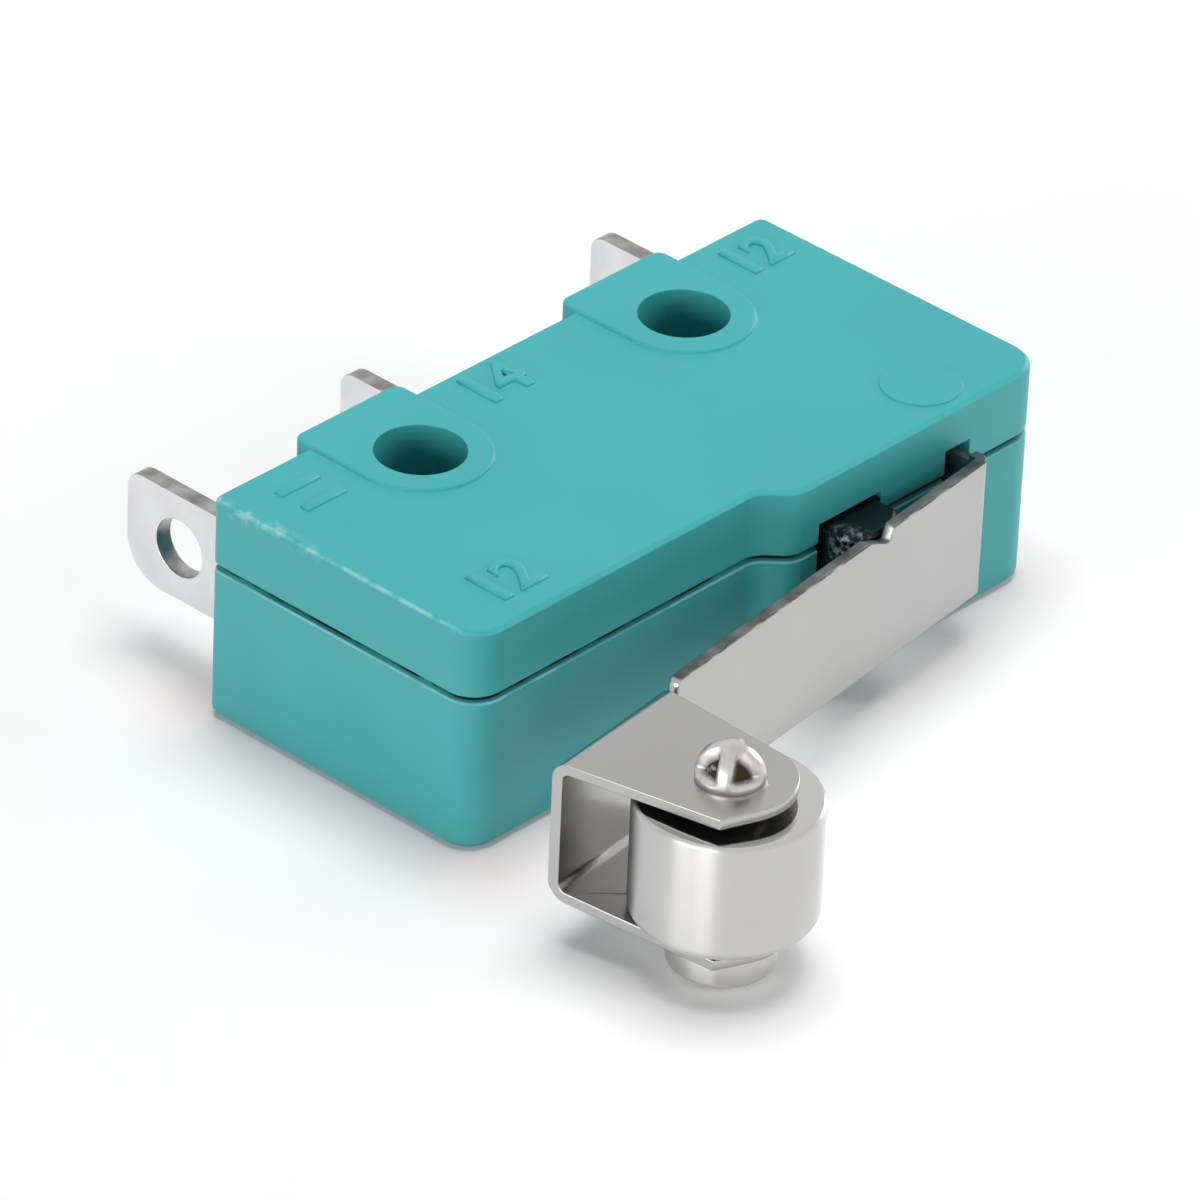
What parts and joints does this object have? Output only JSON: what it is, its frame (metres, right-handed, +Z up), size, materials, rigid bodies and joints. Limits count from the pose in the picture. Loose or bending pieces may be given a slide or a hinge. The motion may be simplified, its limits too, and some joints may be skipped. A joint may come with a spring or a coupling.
{
  "type": "lever micro switch",
  "caption": "Subminiature snap switch in a two-shell plastic case with a hinged sheet-metal lever carrying a riveted roller, flat solder terminals and mounting holes.",
  "frame": {"origin": "midway between the two mounting holes, on the flat bottom face of the case", "axes": "+X along the case towards the lever's hinge, +Y towards the terminals, +Z up through the case's thickness"},
  "size_m": [0.0209, 0.0227, 0.0064],
  "materials": {
    "teal_plastic": "satin moulded",
    "black_plastic": "moulded, worn at the end",
    "lever_steel": "rolled, satin",
    "roller_steel": "turned and polished",
    "rivet_steel": "staked, bright",
    "tinned_brass": "tinned",
    "contact_silver": "silver, pressed",
    "spring_copper": "rolled copper alloy",
    "spring_steel": "drawn wire"
  },
  "bodies": {
    "case": {"base_case": "teal_plastic", "top_cover": "teal_plastic", "common_terminal": "tinned_brass", "normally_open_terminal": "tinned_brass", "normally_closed_terminal": "tinned_brass", "normally_open_contact": "contact_silver", "normally_closed_contact": "contact_silver", "spring_bracket": "tinned_brass", "bracket_rivet": "tinned_brass", "tension_spring": "spring_steel"},
    "lever": {"actuator_lever": "lever_steel", "roller_rivet": "rivet_steel"},
    "roller": {"roller": "roller_steel"},
    "plunger": {"plunger": "black_plastic"},
    "contact_arm": {"contact_arm": "spring_copper", "moving_contact": "contact_silver"}
  },
  "joints": [
    {"name": "lever_hinge", "type": "hinge", "parent": "case", "child": "lever", "pos_m": [0.00665, -0.00675, 0.0032], "axis": [0, 0, -1], "range_deg": [0, 10], "stiffness_Nm_per_rad": 0.01, "springref_deg": -5.73},
    {"name": "roller_spin", "type": "hinge", "parent": "lever", "child": "roller", "pos_m": [-0.00864, -0.01402, 0.0032], "axis": [0, 0, 1], "continuous": true},
    {"name": "plunger_slide", "type": "slide", "parent": "case", "child": "plunger", "axis": [0, 1, 0], "range_m": [0, 0.00075]},
    {"name": "contact_arm_swing", "type": "hinge", "parent": "case", "child": "contact_arm", "pos_m": [-0.00818, -0.0046, 0.0032], "axis": [0, 0, 1], "range_deg": [0, 4], "deforming": ["tension_spring"]}
  ],
  "couplings": [
    {"joint": "plunger_slide", "follows": "lever_hinge", "m_per_rad": 0.00407},
    {"joint": "contact_arm_swing", "follows": "lever_hinge", "ratio": 0.38}
  ]
}
